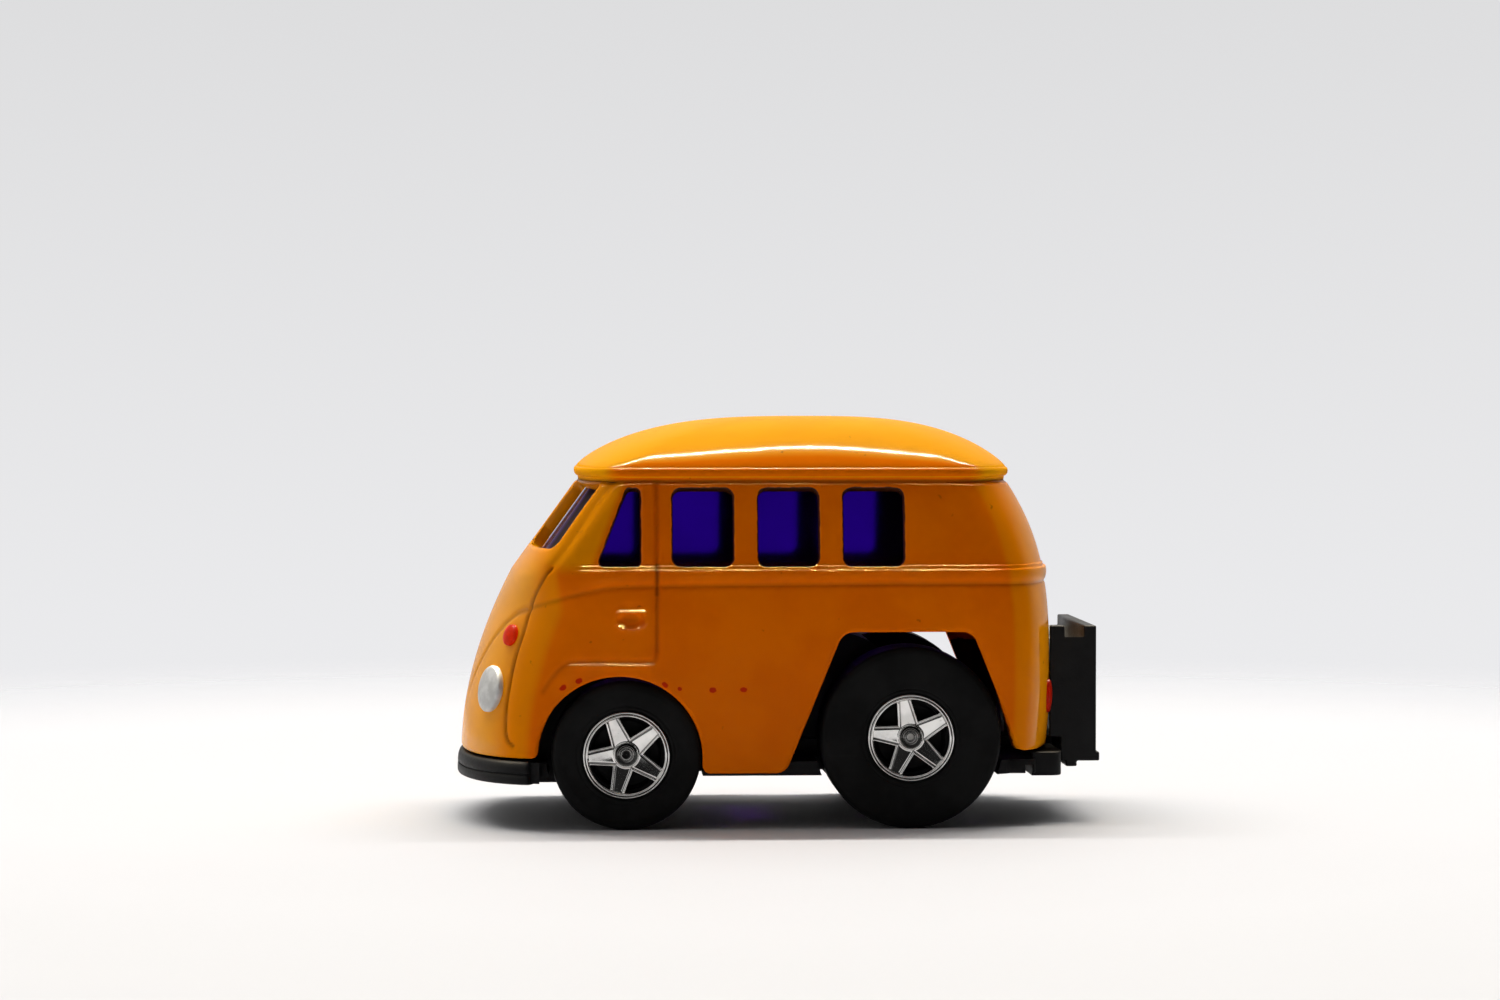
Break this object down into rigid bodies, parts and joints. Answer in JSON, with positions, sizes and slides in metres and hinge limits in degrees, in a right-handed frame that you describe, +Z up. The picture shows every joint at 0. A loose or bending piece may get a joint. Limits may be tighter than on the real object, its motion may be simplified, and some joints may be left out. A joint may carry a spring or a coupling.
{
  "type": "toy van",
  "caption": "Squat pull-back toy van with tinted windows, smooth tyres on plated spoked wheels, a spring motor on its rear axle and a coin holder behind its tail.",
  "frame": {"origin": "on the ground, midway along the whole toy, on its middle plane", "axes": "+X towards the tail and coin holder, +Y towards the toy's right side, +Z up"},
  "size_m": [0.0466, 0.0256, 0.0292],
  "materials": {
    "orange_paint": "glossy orange-yellow enamel",
    "tinted_clear": "clear plastic tinted violet-blue",
    "black_plastic": "black moulded plastic, slightly shiny",
    "tyre_rubber": "smooth soft black rubber",
    "bright_plating": "bright vacuum-plated plastic",
    "steel": "plain steel",
    "case_plastic": "dark moulded plastic",
    "gear_nylon": "natural white nylon"
  },
  "bodies": {
    "van": {"body_shell": "orange_paint", "window_insert": "tinted_clear", "chassis": "black_plastic", "coin_holder": "black_plastic", "motor_case_left": "case_plastic", "motor_case_right": "case_plastic", "spring_arbor": "steel", "idler_pin": "steel", "chassis_screw_front": "steel", "chassis_screw_rear": "steel"},
    "front_wheels": {"front_axle": "steel", "tyre_front_left": "tyre_rubber", "tyre_front_right": "tyre_rubber", "wheel_core_front_left": "black_plastic", "wheel_core_front_right": "black_plastic", "wheel_trim_front_left": "bright_plating", "wheel_trim_front_right": "bright_plating"},
    "rear_wheels": {"rear_axle": "steel", "axle_pinion": "gear_nylon", "tyre_rear_left": "tyre_rubber", "tyre_rear_right": "tyre_rubber", "wheel_core_rear_left": "black_plastic", "wheel_core_rear_right": "black_plastic", "wheel_trim_rear_left": "bright_plating", "wheel_trim_rear_right": "bright_plating"},
    "idler": {"idler_gear": "gear_nylon"},
    "barrel": {"spring_barrel": "gear_nylon", "mainspring": "steel"}
  },
  "joints": [
    {"name": "front_axle_spin", "type": "hinge", "parent": "van", "child": "front_wheels", "pos_m": [-0.011, 0, 0.0053], "axis": [0, 1, 0], "continuous": true},
    {"name": "rear_axle_spin", "type": "hinge", "parent": "van", "child": "rear_wheels", "pos_m": [0.0092, 0, 0.00645], "axis": [0, 1, 0], "continuous": true},
    {"name": "idler_spin", "type": "hinge", "parent": "van", "child": "idler", "pos_m": [0.00444, 0, 0.00867], "axis": [0, 1, 0], "continuous": true},
    {"name": "barrel_spin", "type": "hinge", "parent": "van", "child": "barrel", "pos_m": [-0.00077, 0, 0.00931], "axis": [0, 1, 0], "continuous": true}
  ],
  "couplings": [
    {"joint": "idler_spin", "follows": "rear_axle_spin", "ratio": -0.5},
    {"joint": "barrel_spin", "follows": "rear_axle_spin", "ratio": 0.25}
  ]
}
